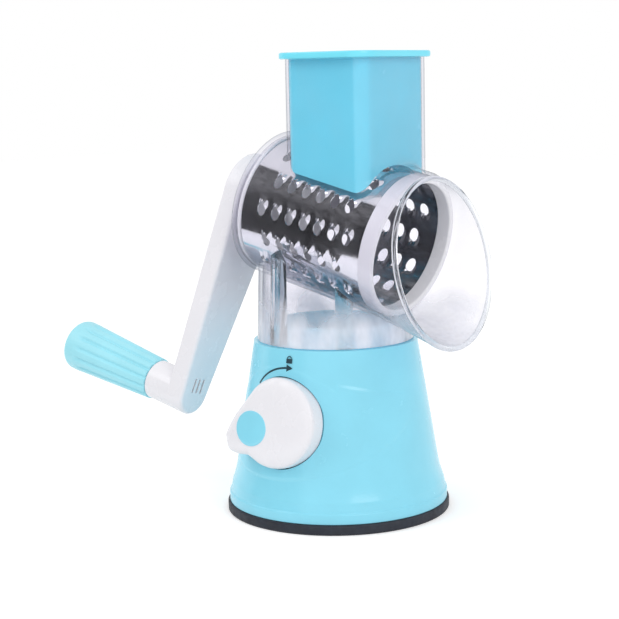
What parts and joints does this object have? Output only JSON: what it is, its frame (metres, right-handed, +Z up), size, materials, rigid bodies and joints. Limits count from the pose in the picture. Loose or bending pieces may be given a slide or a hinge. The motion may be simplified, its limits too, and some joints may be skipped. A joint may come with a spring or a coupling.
{
  "type": "rotary drum shredder",
  "caption": "Hand cranked rotary shredder with a tilted perforated drum, clear housing with chute and mouth, square pusher and a suction foot with lock knob.",
  "frame": {"origin": "centre of the suction foot's underside, on the surface that the object stands on", "axes": "+Z up along the base's axis; +X under the drum's axis towards the mouth; -Y towards the lock knob"},
  "size_m": [0.2486, 0.1236, 0.2473],
  "materials": {
    "blue_plastic": "smooth glossy moulding",
    "white_plastic": "smooth glossy moulding",
    "clear_plastic": "polished clear moulding",
    "polished_steel": "bright polished sheet",
    "steel_fasteners": "plain turned steel",
    "black_rubber": "matt soft rubber",
    "inner_plastic": "plain matt moulding"
  },
  "bodies": {
    "base": {"base_shell": "blue_plastic", "suction_pad": "black_rubber", "clamp_plate": "inner_plastic", "plate_screws": "steel_fasteners", "return_spring": "steel_fasteners", "housing_neck": "clear_plastic", "housing_barrel": "clear_plastic", "feed_chute": "clear_plastic", "discharge_mouth": "clear_plastic", "drum_bush": "white_plastic"},
    "lock": {"lock_knob": "white_plastic", "knob_inlay": "blue_plastic", "knob_shaft": "inner_plastic", "shaft_clip": "steel_fasteners"},
    "plunger": {"suction_plunger": "inner_plastic"},
    "crank": {"crank_arm": "white_plastic", "drive_shaft": "white_plastic", "crank_screw": "steel_fasteners", "grip_pin": "steel_fasteners", "drum_sheet": "polished_steel", "drum_front_ring": "white_plastic", "drum_rear_hub": "white_plastic"},
    "grip": {"grip": "blue_plastic", "grip_cap": "blue_plastic"},
    "pusher": {"pusher": "blue_plastic"}
  },
  "joints": [
    {"name": "crank_spin", "type": "hinge", "parent": "base", "child": "crank", "pos_m": [0, 0, 0.15807], "axis": [0.9708, 0, -0.2397], "continuous": true},
    {"name": "grip_spin", "type": "hinge", "parent": "crank", "child": "grip", "pos_m": [-0.13433, -0.031, 0.0729], "axis": [0.9708, 0, -0.2397], "continuous": true},
    {"name": "pusher_slide", "type": "slide", "parent": "base", "child": "pusher", "axis": [0, 0, 1], "range_m": [0, 0.045]},
    {"name": "lock_turn", "type": "hinge", "parent": "base", "child": "lock", "pos_m": [0, -0.05062, 0.0558], "axis": [0, 0.9872, -0.1592], "range_deg": [0, 90]},
    {"name": "plunger_lift", "type": "slide", "parent": "base", "child": "plunger", "axis": [0, 0, 1], "range_m": [0, 0.00397], "deforming": ["suction_pad", "return_spring"]}
  ],
  "couplings": [
    {"joint": "plunger_lift", "follows": "lock_turn", "m_per_rad": 0.0025154}
  ]
}
